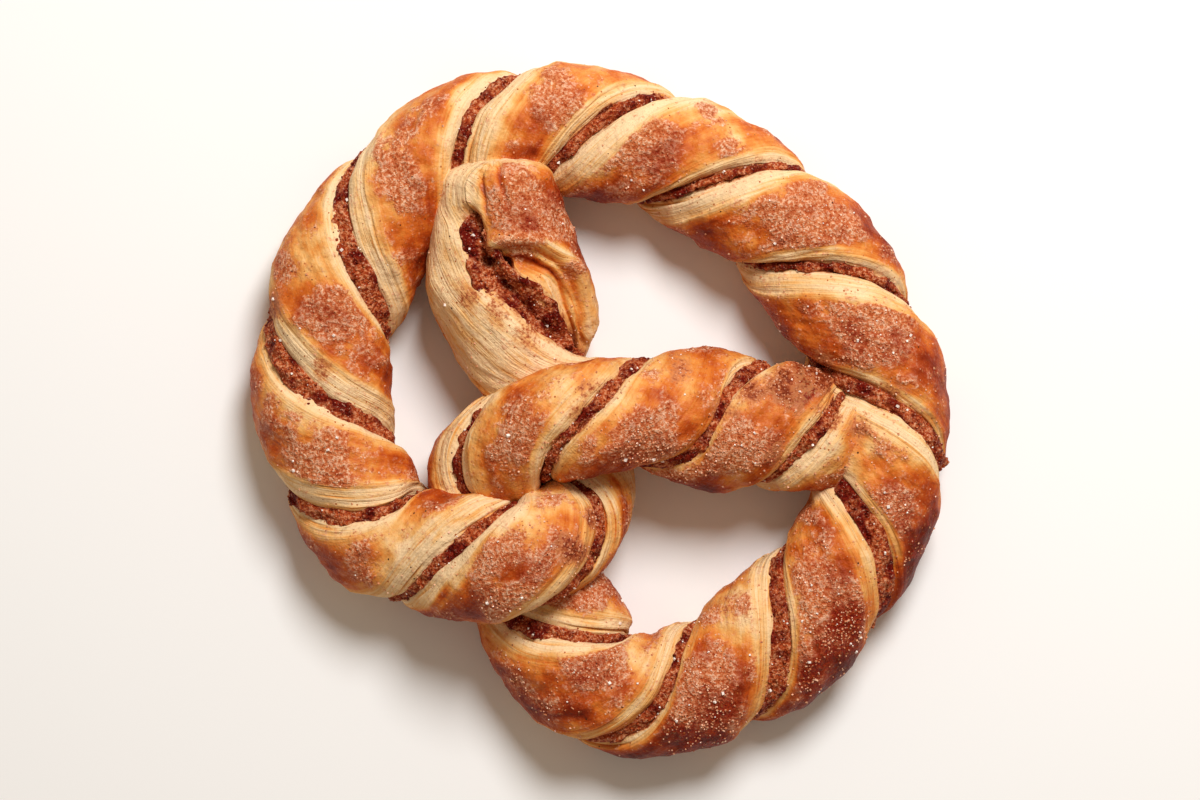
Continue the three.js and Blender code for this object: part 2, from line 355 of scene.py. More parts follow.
# Where the pastry is coloured browner, or paler below zero, than the rest: x, y, radius in mm, how much.
# At (-10, -32) and (-2, -24) the darkening is partly a painted shadow by the crossing strands.
TONES = [(-75, 25, 14, 0.1), (-20, 67, 12, 0.05), (66, 40, 16, 0.06), (70, 5, 16, 0.08),
         (62, -35, 16, 0.25), (40, -60, 15, 0.25), (12, -74, 14, 0.18), (-15, -66, 12, 0.16),
         (-62, -35, 12, 0.1), (-40, -43, 7, 0.15), (-58, 20, 7, 0.1), (-71, 22, 4, 0.3),
         (-68, 40, 8, -0.25), (-61, 30, 5, -0.3), (-51, 39, 5, 0.15), (-51, 56, 6, -0.12),
         (-66, 0, 6, -0.18), (-59, -4, 5, -0.2), (-52, -9, 7, -0.2), (-74, -14, 6, 0.15),
         (-58, -16, 5, 0.15), (-35, -20, 5, 0.25), (-42, -26, 6, -0.3), (-34, -30, 6, -0.4),
         (-16, -22, 7, -0.4), (-14, 54, 4, 0.2), (-3, 72, 6, -0.15), (13, 52, 5, 0.3), (24, 62, 8, -0.3),
         (41, 52, 5, 0.3), (34, 24, 8, 0.1), (43, 27, 5, 0.3), (-30, 28, 5, 0.12), (-21, 27, 6, 0.15),
         (-35, 16, 7, 0.08), (-24, 15, 5, -0.15), (-19, 19, 5, 0.1), (-19, 48, 6, -0.2),
         (-10, 46, 5, 0.2), (-22, -4, 6, -0.1), (-11, 8, 6, -0.25), (21, 7, 6, -0.2), (-11, -8, 5, 0.15),
         (21, -2, 5, 0.2), (28, -15, 6, -0.35), (52, -10, 7, -0.25), (41, -13, 6, -0.15),
         (47, -17, 5, -0.3), (45, 7, 6, 0.5), (45, -32, 5, -0.25), (38, -24, 5, -0.2), (41, -43, 6, -0.3),
         (27, -44, 7, -0.35), (6, -50, 6, -0.35), (-10, -32, 6, 0.45), (-2, -24, 6, 0.45),
         (62, -20, 6, 0.14), (51, -46, 6, 0.3), (61, -40, 6, 0.3), (1, -69, 6, 0.35), (-9, -45, 6, 0.12)]

# The curled lip beside the opened seam of the first end: x and y in mm.
LIP = np.array([(-25.5, 33.2), (-21.5, 35.2), (-17, 35.3), (-12.8, 34.2), (-8.8, 32), (-5.8, 28.5),
                (-4, 23.6), (-3, 17.6), (-2.6, 12.5)])

# How much of the strand the lip may lie on, in mm from the tip: other stretches pass near it.
LIP_STRETCH = 90

# Creases in the tip of the first end, in the same way.
TIP_CREASES = [np.array([(-26.2, 50.5), (-25.8, 46), (-25.3, 41.5)]),
               np.array([(-22.4, 52), (-21.8, 47.5), (-20.3, 43)])]
CREASE_STRETCH = 60

# Half the angle that the filling takes up between the layers, in degrees, by the quarter turns.
SPREAD_QUARTERS = [-0.44, -0.3, 0, 0.4, 1, 2, 3, 4, 5, 6, 9, 12, 13, 15, 18, 21, 22, 24, 26, 28, 30, 32, 33,
                   34, 35, 36, 37, 39]
SPREAD = [5, 18, 22, 15, 10, 9, 13, 19, 18, 11, 17, 17, 14, 11, 8, 8, 15, 17, 16, 12, 12, 16, 10,
          8, 18, 20, 15, 8]

# Clumps of cinnamon sugar that stand out of the seams, or hollows in it: x, y, radius and height, in mm.
CLUMPS = [(49, -3.5, 3.5, 1.5), (44.5, -6, 2.5, 1), (73.5, -10.5, 2.2, 2.4), (69, -7, 2.2, 1.1),
          (64.5, -3, 2.4, 1.1), (32, 3.5, 2.4, 1.3), (27, 1, 2.2, 1.1), (36.5, 4.5, 2.2, 1.6),
          (-27, 34.5, 2.2, 1.2), (-28.5, 29.5, 2, 1), (-17, 24.5, 2.2, 1.2), (-13, 20, 2, 1),
          (-24.8, 31.6, 1.1, -2.4), (-66, 14, 2, 0.9), (-58.5, 22, 2.2, 0.9)]


def distance_in(x, y, spot_x, spot_y, radius):
    """Distance from a spot, in its radii."""
    return np.hypot(x - spot_x, y - spot_y) / radius


def beside(x, y, line):
    """Distance from a line seen from above, positive on its left."""
    nearest = np.full(x.shape, 1e9)
    signed = np.zeros(x.shape)
    for (ax, ay), (bx, by) in zip(line[:-1], line[1:]):
        dx, dy = bx - ax, by - ay
        t = np.clip(((x - ax) * dx + (y - ay) * dy) / (dx * dx + dy * dy), 0, 1)
        ex, ey = x - ax - t * dx, y - ay - t * dy
        apart = np.hypot(ex, ey)
        closer = apart < nearest
        nearest = np.where(closer, apart, nearest)
        signed = np.where(closer, apart * np.sign(dx * ey - dy * ex), signed)
    return signed


def towards_hot_side(x, y):
    """How far a place lies towards the side that has browned most, in mm."""
    return HOT_SIDE[0] * x + HOT_SIDE[1] * y


# ---------------------------------------------------------------- pastry
def arc_lengths(points):
    """Length around each ring up to each point."""
    step = np.linalg.norm(np.diff(points, axis=1), axis=2)
    return np.concatenate([np.zeros((len(points), 1)), np.cumsum(step, axis=1)], axis=1)


def cut_widths(s, quarters, lobe):
    """Width of the cut side next to the leading and the ending seam, in mm. lobe: see LAYER_NOISE."""
    leading = np.interp(quarters, CUT_QUARTERS, CUT_LEADING) + 2.6 * noise(s / 18, 0, lobe, 13)
    ending = np.interp(quarters, CUT_QUARTERS, CUT_ENDING) + 2.2 * noise(s / 14, 4, lobe, 14)
    if lobe == LAYER_NOISE[1]:
        gaping = quarters < GAPING_CUT_QUARTERS[-1]
        leading = np.where(gaping, GAPING_CUT_LEADING, leading)
        ending = np.where(gaping, np.interp(quarters, GAPING_CUT_QUARTERS, GAPING_CUT_ENDING), ending)
    return leading, ending


def thin_sheets(s, d, cut, lobe):
    """Relief of the sheets that show on a cut side, and how much each place is a crease or a split: a map
    that colours these lines darker, partly as the sheets' browned edges and partly as painted shade in the
    gaps. d: distance from the nearest seam."""
    waves = d / 2.1 + 1.5 * noise(s / 13, d / 6, lobe, 3) + 0.4 * noise(s / 5, d / 2.5, lobe, 18)
    step = waves - np.floor(waves)
    depth = smoothstep(-0.05, 0.55, noise(s / 9, np.floor(waves) * 1.7, lobe, 4))
    sheet = (0.5 - step) * smoothstep(0, 0.22, step)
    relief = cut * (0.4 * depth * sheet + 0.35 * noise(s / 10, d / 3, lobe, 33))
    crease = np.exp(-(np.minimum(step, 1 - step) / 0.14) ** 2) * depth
    split_at = 2.8 + 1.3 * noise(s / 15, 0, lobe, 6)
    split = smoothstep(0.05, 0.35, noise(s / 15, 5, lobe, 7)) * np.exp(-((d - split_at) / 0.33) ** 2)
    return relief - split, cut * np.maximum(crease * 0.6, split)


def sugar_patches(x, y, z, edge):
    """How thickly sugar has baked onto the crust, from 0 to 1. edge: distance from the cut side."""
    patch = noise(x / 8, y / 8, z / 8, 10) + 0.5 * noise(x / 2.4, y / 2.4, z / 2.4, 11)
    thick = np.zeros(x.shape)
    for spot_x, spot_y, radius in SUGARED:
        here = smoothstep(1.3, 0.3, distance_in(x, y, spot_x, spot_y, radius))
        thick = np.maximum(thick, here * smoothstep(5, 12, z))
    return smoothstep(-0.35, 0.5, patch - 0.25 + 0.95 * thick) * smoothstep(0.2, 4.5 - 2 * thick, edge)


def browning_and_shadow(x, y, z, e0, e1):
    """How much browner the crust is coloured: away from the cut sides as it baked, and in the TONES spots,
    two of them
    partly a painted shadow. e0, e1: distances from the two cut sides.
    """
    heat_and_shade = 0.16 * smoothstep(1, 12, e0) * smoothstep(-1, 2, e1) - 0.03
    uneven = 0.3 * noise(x / 6, y / 6, z / 6, 34)
    for spot_x, spot_y, radius, shift in TONES:
        heat_and_shade += shift * smoothstep(1.5, 0.1, distance_in(x, y, spot_x, spot_y, radius) + uneven)
    return heat_and_shade


def spilt_cinnamon(x, y, z, s, d, quarters, lobe):
    """How thickly cinnamon lies on the pastry, from 0 to 1. d: distance from the nearest seam."""
    reach = np.interp(quarters, STREWN_QUARTERS, STREWN)
    spill = smoothstep(reach, 0.4, d + 1.6 * noise(s / 3, d / 2, lobe, 19)) * smoothstep(1, 9, s)
    ragged = 0.45 * noise(x / 3, y / 3, z / 3, 30)
    for spot_x, spot_y, radius, share in SPILLS:
        apart = distance_in(x, y, spot_x, spot_y, radius) + ragged
        spill = np.maximum(spill, share * smoothstep(1.3, 0.1, apart) * smoothstep(6, 10, z))
    return spill


def pastry_relief(p, s, a0, a1, quarters, lobe):
    """How far the baked surface stands out, in mm, and the maps that colour it. p: places. s: length along
    the strand. a0, a1: distance from the seam that the layer leads with, and from the other. lobe: where
    this layer reads the noise."""
    x, y, z = np.moveaxis(p, -1, 0)

    # The cut side ends in a torn line, where the crust starts.
    leading, ending = cut_widths(s, quarters, lobe)
    torn = 1.0 * noise(s / 6, a0 / 3, lobe, 15) + 0.45 * noise(s / 2.2, a0 / 1.1, lobe, 16)
    e0, e1 = a0 - leading + torn, a1 - ending + torn
    edge = np.minimum(e0, e1)
    cut = 1 - smoothstep(-0.6, 0.9, edge)
    crust = 1 - cut
    fade = 1 + noise(s / 11, a0 / 9, lobe, 35)
    cream = 1 - smoothstep(-2.5 - fade, 2.0 + 4.0 * fade, edge)
    d = np.minimum(a0, a1)

    # Swells and dents, the raised rim of the crust, and its fine wrinkles.
    h = 0.75 * noise(x / 13, y / 13, z / 13, 1) + 0.42 * noise(x / 5.5, y / 5.5, z / 5.5, 17)
    rim = smoothstep(-0.35, 0.35, edge) * np.exp(-np.maximum(edge, 0) / 3.0)
    h += 0.42 * rim * smoothstep(-0.9, 0.3, noise(s / 12, 0, lobe, 2))
    h += crust * 0.18 * noise(s / 8, a0 / 3, lobe, 8)
    h += crust * 0.3 * noise(x / 2.8, y / 2.8, z / 2.8, 9)

    sheets, layers = thin_sheets(s, d, cut, lobe)
    patch = sugar_patches(x, y, z, edge)
    spill = spilt_cinnamon(x, y, z, s, d, quarters, lobe)
    h += sheets
    h += patch * (0.12 + 0.3 * noise(x / 1.5, y / 1.5, z / 1.5, 12))
    h += 0.25 * spill * noise(x / 1.6, y / 1.6, z / 1.6, 31)
    return h, cream, patch, layers, browning_and_shadow(x, y, z, e0, e1), spill


def curled_lip(p, layers, cut):
    """Opens the first end beside its seam: the layer stands up in a lip, with a hollow inside it. Returns
    how far it stands out, and the two maps with the lip's creases and bare edge on them. The creases are
    coloured darker, partly as a painted shadow under the lip's layered edges."""
    x, y, z = np.moveaxis(p, -1, 0)
    aside = beside(x, y, LIP)
    here = smoothstep(10, 13, z) * smoothstep(8, 4, np.abs(aside)) * smoothstep(8, 11, y)
    here *= smoothstep(-27, -23, x)
    rim = 1.2 * np.exp(-((aside - 0.8) / 1.5) ** 2) - 2.0 * smoothstep(0.4, -1.4, aside)
    rim -= 1.8 * np.exp(-((x + 15.5) ** 2 + (y - 28.5) ** 2) / 7)
    second = -0.9 * smoothstep(-2.3, -3.2, aside) + 0.45 * np.exp(-((aside + 2.3) / 0.6) ** 2)
    raised = here * (rim + second)
    # Two lines along the lip's layered edges, coloured darker: partly a painted shadow under those edges.
    line = np.exp(-((aside + 0.9) / 0.4) ** 2) + np.exp(-((aside + 3.2) / 0.4) ** 2)
    edge = here * smoothstep(3.2, 1.0, np.abs(aside + 0.2))
    inside = here * smoothstep(-1.2, -2.2, aside)
    return raised, np.maximum(layers, here * line), np.maximum(cut * (1 - 0.3 * inside), 0.9 * edge)


def side_browning_and_light(p, normal, heat_and_shade, cream):
    """The colour of the flanks, added to what baking gave: they are coloured darker, partly baked browner
    and partly painted shade, most of all those that face the near side, away from the lamp, and at the
    corner that has browned most. Faces that turn to the far side, towards the lamp, are coloured a little
    paler: a painted light."""
    side = 0.3 * normal[..., 0] - 0.95 * normal[..., 1]
    # Steep flanks are coloured darker: partly baked browner, partly painted shade.
    flank = smoothstep(0.95, 0.0, normal[..., 2] - 0.3 * side)
    corner = smoothstep(0, 80, towards_hot_side(p[..., 0], p[..., 1]))
    # Faces that turn to the near side, away from the lamp, are coloured darker, most of all towards the
    # corner: partly browned, partly painted shade.
    lee_shade = smoothstep(0.1, 0.9, side)
    crust = 1 - 0.6 * cream
    heat_and_shade = heat_and_shade * crust + flank * (0.05 + 0.05 * crust)
    heat_and_shade += lee_shade * crust * (0.05 + 0.25 * corner) + 0.06 * corner
    # Faces that turn to the far side, towards the lamp, are coloured paler: a painted light.
    return np.clip(heat_and_shade - 0.06 * smoothstep(0.2, 0.8, -side), -0.5, 0.5)


def lobe_of_pastry(number, strand):
    """One of the two twisted layers of pastry, with crust outside and cut sides next to the seams."""
    ring, shift, scale = strand.tips()
    gape = strand.gape[ring, None]
    closed = strand.closed[ring, None]

    # The layer reaches into the filling at both seams, so that no gap shows. Its points lie closer on the
    # cut sides, near the seams, than on the crust.
    first = 0.3 * (FILLING_ANGLE + GAPE_ANGLE * gape) * (1 - 0.8 * closed)
    last = 0.3 * FILLING_ANGLE
    column = np.arange(OUTER_POINTS) / (OUTER_POINTS - 1)
    share = np.interp(column, [0, 0.36, 0.74, 1], [0, 0.25, 0.79, 1])
    if number:
        angle = math.pi + last + (math.pi - first - last) * share
    else:
        angle = first + (math.pi - first - last) * share
    outer = pastry_radius(angle, gape, closed)
    p = strand.surface(angle, outer, ring, shift, scale)
    normal = surface_normals(p)

    # Its inner side runs a millimetre from the strand's middle.
    middle = np.full((len(ring), 1), math.pi * (1.5 if number else 0.5))
    thin = 1.0 / strand.half_width[ring, None]
    inner = strand.surface(middle, thin, ring, shift, scale)

    around = arc_lengths(p)
    left_over = around[:, -1:] - around
    s = strand.along[ring, None] + shift[:, None] + 0 * around
    quarters = strand.quarters[ring, None] + 0 * around
    layer = LAYER_NOISE[number]
    h, cream, patch, layers, heat_and_shade, spill = pastry_relief(p, s, around, left_over, quarters, layer)
    if number:
        raised, opened, bare = curled_lip(p, layers, cream)
        starting = s < LIP_STRETCH
        layers, cream = np.where(starting, opened, layers), np.where(starting, bare, cream)
        h = h + np.where(starting, raised, 0)
    for crease in TIP_CREASES:
        groove = np.exp(-(beside(p[..., 0], p[..., 1], crease) / 0.5) ** 2) * (s < CREASE_STRETCH)
        h = h - 0.8 * groove
        heat_and_shade = heat_and_shade + 0.3 * groove
    h *= np.minimum(scale[:, None] * 2, 1) * smoothstep(0, 1, np.minimum(around, left_over))
    outside = p + normal * h[..., None]
    points = np.concatenate([outside, inner, outside[:, :1]], axis=1)
    points[..., 2] = np.maximum(points[..., 2], 0.0)
    # Here the flanks' painted shade and painted light join the browned colour in one map.
    heat_and_shade = side_browning_and_light(p, normal, heat_and_shade, cream)
    widen = lambda v: np.concatenate([v, v[:, -1:], v[:, :1]], axis=1)
    # One of these maps holds the layer lines and the browned colour, both with painted shade in them.
    maps = {
        "Strand": np.stack([widen(s) * MM, widen(around) * MM], axis=-1),
        "Zone": np.stack([widen(cream), widen(patch)], axis=-1),
        "Bake": np.stack([widen(layers), widen(heat_and_shade)], axis=-1),
        "Cinnamon": np.stack([widen(spill), widen(0 * spill)], axis=-1),
    }
    return rope(f"pastry_layer_{number + 1}", points, maps, ring, strand)


# ---------------------------------------------------------------- filling
def filling_ribbon(strand):
    """The cinnamon sugar between the layers, which swells out of both seams in rough lumps."""
    ring, shift, scale = strand.tips()
    gape = strand.gape[ring, None]
    t = np.linspace(-1, 1, CREST_POINTS)[None, :]
    s = strand.along[ring, None] + shift[:, None]
    width = np.interp(strand.quarters[ring], SPREAD_QUARTERS, SPREAD)[:, None]
    sunk = 1.5 * strand.closed[ring, None]
    crests, strips = [], []
    for side, turn in enumerate((0.0, math.pi)):
        wobble = 1 + 0.4 * noise(s / 11, side * 4.0, 0, 20) + 0.2 * noise(s / 3, side * 4.0, t > 0, 25)
        angle = turn + np.radians(width * wobble) * t

        # A crest fills the seam's notch in the middle, meets its sides at both edges, and stands out
        # further where it is wider.
        notch = pastry_radius(angle, gape)
        whole = notch + SEAM_DEPTH * np.exp(-(np.sin(angle) / SEAM_WIDTH) ** 2)
        base = notch + (whole - notch) * (1 - t ** 4)
        rise = -0.5 + 0.075 * (width - 9)
        rise = rise + 0.7 * noise(s / 8, side * 3.0, 1, 21) * (1 - t ** 4) - 0.4 * t ** 6
        p = strand.surface(angle, base + (rise - sunk) / strand.half_width[ring, None], ring, shift, scale)
        normal = surface_normals(p)

        # Rough lumps, smaller and smaller, and the clumps.
        x, y, z = np.moveaxis(p, -1, 0)
        lump = 0.9 * noise(x / 3.8, y / 3.8, z / 3.8, 22) + 0.6 * noise(x / 1.7, y / 1.7, z / 1.7, 23)
        lump += 0.28 * noise(x / 0.9, y / 0.9, z / 0.9, 24)
        for spot_x, spot_y, radius, height in CLUMPS:
            apart = ((x - spot_x) ** 2 + (y - spot_y) ** 2) / radius ** 2
            lump += height * np.exp(-apart) * smoothstep(3, 9, z)
        p = p + normal * (lump * (1 - t ** 6) * np.minimum(scale[:, None] * 2, 1))[..., None]
        crests.append(p)
        strips.append(np.broadcast_to(t, p.shape[:2]))

    # Between its crests the ribbon is a millimetre thick.
    thin = np.full((len(ring), 1), 0.5) / strand.half_width[ring, None]
    middles = []
    for half_turns in (0.5, 1.5):
        angle = np.full((len(ring), 1), math.pi * half_turns)
        middles.append(strand.surface(angle, thin, ring, shift, scale))
    points = np.concatenate([crests[0], middles[0], crests[1], middles[1], crests[0][:, :1]], axis=1)
    points[..., 2] = np.maximum(points[..., 2], 0.3)
    gap = np.zeros((len(ring), 1))
    across = np.concatenate([strips[0], gap, strips[1], gap, strips[0][:, :1]], axis=1)
    along = np.broadcast_to(s * MM, across.shape)
    return rope("cinnamon_ribbon", points, {"Ribbon": np.stack([along, across], axis=-1)}, ring, strand)


# ---------------------------------------------------------------- materials
# Settings that many nodes share.
TIMES = {"operation": "MULTIPLY"}
PLUS = {"operation": "ADD"}
BLEND = {"data_type": "RGBA"}
STAIN = {"data_type": "RGBA", "blend_type": "MULTIPLY"}
SOFT = {"interpolation_type": "SMOOTHSTEP"}
FREE = {"clamp": False}


def linear(code):
    """An sRGB hex colour as linear RGBA."""
    values = [int(code[i:i + 2], 16) / 255 for i in (1, 3, 5)]
    return [v / 12.92 if v <= 0.04045 else ((v + 0.055) / 1.055) ** 2.4 for v in values] + [1.0]


def add(tree, kind, settings, *values, give=None, stops=(), **named):
    """Adds a node with its settings, fills its inputs in order or by name, and returns one output."""
    node = tree.nodes.new("ShaderNode" + kind)
    for key, value in settings.items():
        setattr(node, key, value)
    for _ in stops[2:]:
        node.color_ramp.elements.new(0.5)
    for i, (place, colour) in enumerate(stops):
        node.color_ramp.elements[i].position = place
        node.color_ramp.elements[i].color = linear(colour)
    filled = list(zip([socket for socket in node.inputs if socket.enabled], values))
    filled += [(node.inputs[name.replace("_", " ")], value) for name, value in named.items()]
    for socket, value in filled:
        if isinstance(value, bpy.types.NodeSocket):
            tree.links.new(value, socket)
        else:
            socket.default_value = linear(value) if isinstance(value, str) else value
    return node.outputs[give] if give else next((socket for socket in node.outputs if socket.enabled), None)


def new_material(name):
    """A material with nothing but its shader and output: the material, its nodes and the shader."""
    material = bpy.data.materials.new(name)
    material.use_nodes = True
    tree = material.node_tree
    tree.nodes.clear()
    surface = add(tree, "BsdfPrincipled", {})
    add(tree, "OutputMaterial", {}, Surface=surface)
    return material, tree, surface.node


# Flecks of cinnamon on the pastry: where their pattern starts, how far apart and how large they are, in
# mm, and their colour.
FLECKS = ((0.1, 2.6, 0.14, "#4A2413"), (0.5, 1.6, 0.15, "#B4622E"))


def baked_pastry():
    """Puff pastry: cream where it was cut, then gold, orange and red-brown as it baked, with faint lines
    where its layers part, and rosy sugar baked onto the crust. Painted shade darkens the flanks that face
    the near side and the gaps between the layers, and a painted light brightens faces towards the lamp."""
    material, tree, shader = new_material("baked_puff_pastry")
    strand = add(tree, "UVMap", {"uv_map": "Strand"})
    zone = add(tree, "UVMap", {"uv_map": "Zone"})
    cream = add(tree, "SeparateXYZ", {}, zone, give="X")
    patch = add(tree, "SeparateXYZ", {}, zone, give="Y")
    # Layer lines and browned colour, both with painted shade in them, and painted light on faces towards
    # the lamp.
    bake_and_shade = add(tree, "UVMap", {"uv_map": "Bake"})
    layers = add(tree, "SeparateXYZ", {}, bake_and_shade, give="X")
    heat_and_shade = add(tree, "SeparateXYZ", {}, bake_and_shade, give="Y")
    cinnamon = add(tree, "UVMap", {"uv_map": "Cinnamon"})
    spill = add(tree, "SeparateXYZ", {}, cinnamon, give="X")
    place = add(tree, "TexCoord", {}, give="Object")

    # Streaks along the strand, wide and narrow, and then mottling from patches of browning down to grit,
    # each with its size in mm. Fine sugar is drawn coarser than it is, at 0.74 mm, so that it shows.
    wide = add(tree, "Mapping", {}, strand, Scale=(METRE / 20, METRE / 2.33, 1))
    streak = add(tree, "TexNoise", {}, wide, Scale=1.0, Detail=3.0, Roughness=0.5, Distortion=0.7)
    narrow = add(tree, "Mapping", {}, strand, Scale=(METRE / 8.33, METRE / 0.667, 1))
    fine = add(tree, "TexNoise", {}, narrow, Scale=1.0, Detail=3.0, Roughness=0.55, Distortion=0.5)
    mottle = add(tree, "TexNoise", {}, place, Scale=METRE / 6.25, Detail=4.0, Roughness=0.55)
    blotch = add(tree, "TexNoise", {}, place, Scale=METRE / 2.5, Detail=3.0, Roughness=0.6)
    grain = add(tree, "TexNoise", {}, place, Scale=METRE / 0.87, Detail=3.0, Roughness=0.65)
    frosting = add(tree, "TexNoise", {}, place, Scale=METRE / 0.74, Detail=3.0, Roughness=0.7)
    grit = add(tree, "TexNoise", {}, place, Scale=METRE / 0.435, Detail=2.0, Roughness=0.6)

    # How far it is baked, from 0 to 1, with painted shade and painted light from the flanks and the layer
    # gaps added in.
    crust = add(tree, "MapRange", {}, cream, 0.0, 1.0, 1.0, 0.0)
    done_and_shade = add(tree, "MapRange", FREE, cream, 0.0, 1.0, 0.44, 0.04)
    spread = add(tree, "MapRange", FREE, mottle, 0.3, 0.7, -0.22, 0.22)
    uneven = add(tree, "Math", TIMES, spread, add(tree, "MapRange", {}, crust, 0.0, 1.0, 0.35, 1.0))
    done_and_shade = add(tree, "Math", PLUS, done_and_shade, uneven)
    lines = add(tree, "MapRange", FREE, streak, 0.3, 0.7, 0.14, -0.14)
    lines = add(tree, "Math", PLUS, lines, add(tree, "MapRange", SOFT, fine, 0.34, 0.5, 0.12, 0.0))
    lines = add(tree, "Math", TIMES, lines, add(tree, "MapRange", {}, cream, 0.0, 0.8, 0.3, 1.0))
    done_and_shade = add(tree, "Math", PLUS, done_and_shade, lines)
    # Crease and split lines on the cut sides are coloured darker: partly the sheets' browned edges, partly
    # painted shade in the gaps.
    done_and_shade = add(tree, "Math", PLUS, done_and_shade, add(tree, "Math", TIMES, layers, 0.36))
    done_and_shade = add(tree, "Math", PLUS, done_and_shade, add(tree, "MapRange", SOFT, spill, 0.0, 0.9, 0.0, 0.3))
    done_and_shade = add(tree, "Math", PLUS, done_and_shade, heat_and_shade)
    colour = add(tree, "ValToRGB", {}, done_and_shade, stops=(
        (0.02, "#F3D1A2"), (0.15, "#EEC288"), (0.27, "#E8AB62"), (0.40, "#DE8B3E"), (0.53, "#CD6820"),
        (0.67, "#AE440C"), (0.84, "#862804"), (1.0, "#601501")))

    # Sugar baked on: rosy grains, red-brown where they have melted.
    clots = add(tree, "MapRange", FREE, blotch, 0.3, 0.7, -0.09, 0.09)
    sugared = add(tree, "ValToRGB", {}, add(tree, "Math", PLUS, frosting, clots), stops=(
        (0.34, "#AA4218"), (0.44, "#C66538"), (0.53, "#D9895C"), (0.63, "#F6C8A6")))
    melted = add(tree, "MapRange", SOFT, blotch, 0.50, 0.64, 0.0, 0.4)
    sugared = add(tree, "Mix", BLEND, melted, sugared, "#BA5228")
    scorched = add(tree, "Mix", STAIN, 1.0, sugared, "#B4571E")
    burnt = add(tree, "MapRange", SOFT, done_and_shade, 0.5, 0.95, 0.0, 1.0)
    sugared = add(tree, "Mix", BLEND, burnt, sugared, scorched)
    frost = add(tree, "Math", PLUS, patch, add(tree, "MapRange", FREE, grain, 0.3, 0.7, -0.3, 0.46))
    frost = add(tree, "Math", PLUS, frost, add(tree, "MapRange", FREE, blotch, 0.3, 0.7, -0.24, 0.24))
    cover = add(tree, "MapRange", SOFT, frost, 0.1, 0.75, 0.0, 0.92)
    colour = add(tree, "Mix", BLEND, cover, colour, sugared)

    # Cinnamon that has spilt over from the seams, and flecks of it all over.
    strewn_over = add(tree, "MapRange", FREE, grain, 0.3, 0.7, 0.36, -0.36)
    strewn_over = add(tree, "Math", PLUS, spill, strewn_over)
    spilt = add(tree, "ValToRGB", {}, strewn_over, stops=(
        (0.2, "#DFA06A"), (0.5, "#C47A4A"), (0.75, "#A4502A"), (1.0, "#762A0E")))
    lit = add(tree, "MapRange", SOFT, grit, 0.58, 0.70, 0.0, 0.6)
    spilt = add(tree, "Mix", BLEND, lit, spilt, "#E8B490")
    colour = add(tree, "Mix", BLEND, add(tree, "MapRange", SOFT, strewn_over, 0.1, 0.7), colour, spilt)
    for seed, apart, radius, tone in FLECKS:
        moved = add(tree, "Mapping", {}, place, Location=(seed, seed, seed))
        spots = add(tree, "TexVoronoi", {}, moved, Scale=METRE / apart)
        size = add(tree, "SeparateColor", {}, spots.node.outputs["Color"])
        reach = add(tree, "Math", TIMES, size, 1.6 * radius / apart)
        fleck = add(tree, "Math", {"operation": "LESS_THAN"}, spots, reach)
        colour = add(tree, "Mix", BLEND, fleck, colour, tone)
    tree.links.new(colour, shader.inputs["Base Color"])
    tree.links.new(add(tree, "MapRange", {}, cream, 0.0, 1.0, 0.50, 0.62), shader.inputs["Roughness"])
    shader.inputs["IOR"].default_value = 1.45
    shader.inputs["Specular IOR Level"].default_value = 0.17

    # Fine relief: lines on the cut sides, grains where sugar lies.
    lines = add(tree, "Math", TIMES, fine, add(tree, "Math", TIMES, cream, 0.6))
    grains = add(tree, "Math", TIMES, frosting, add(tree, "MapRange", {}, patch, 0.0, 1.0, 0.15, 1.3))
    relief = add(tree, "Math", PLUS, lines, grains)
    relief = add(tree, "Math", PLUS, relief, blotch)
    bump = add(tree, "Bump", {}, Strength=0.8, Distance=0.0008, Height=relief)
    tree.links.new(bump, shader.inputs["Normal"])
    return material


def cinnamon_sugar():
    """Baked cinnamon sugar: matte, rough, red-brown, darker where it has melted, with rosy grains."""
    material, tree, shader = new_material("baked_cinnamon_sugar")
    place = add(tree, "TexCoord", {}, give="Object")

    # Melted patches, grains and bright grit, each with its size in mm.
    coarse = add(tree, "TexNoise", {}, place, Scale=METRE / 4.35, Detail=3.0)
    grain = add(tree, "TexNoise", {}, place, Scale=METRE / 0.74, Detail=3.0, Roughness=0.65)
    grit = add(tree, "TexNoise", {}, place, Scale=METRE / 0.476, Detail=2.0, Roughness=0.6)
    colour = add(tree, "ValToRGB", {}, grain, stops=(
        (0.33, "#781A04"), (0.43, "#A03812"), (0.53, "#BE5E30"), (0.64, "#E29C72")))
    dark = add(tree, "Mix", STAIN, 1.0, colour, "#9C4630")
    colour = add(tree, "Mix", BLEND, add(tree, "MapRange", SOFT, coarse, 0.44, 0.62), colour, dark)
    lit = add(tree, "MapRange", SOFT, grit, 0.60, 0.70, 0.0, 0.7)
    colour = add(tree, "Mix", BLEND, lit, colour, "#E8B498")
    tree.links.new(colour, shader.inputs["Base Color"])
    shader.inputs["Roughness"].default_value = 0.55
    shader.inputs["Specular IOR Level"].default_value = 0.1
    bump = add(tree, "Bump", {}, Strength=1.0, Distance=0.0009, Height=grain)
    tree.links.new(bump, shader.inputs["Normal"])
    return material


def sugar_crystal():
    """Coarse white sugar: clear hard grains that catch the light."""
    material, tree, shader = new_material("coarse_white_sugar")
    shader.inputs["Base Color"].default_value = linear("#FAEDE2")
    shader.inputs["Roughness"].default_value = 0.12
    shader.inputs["IOR"].default_value = 1.54
    return material


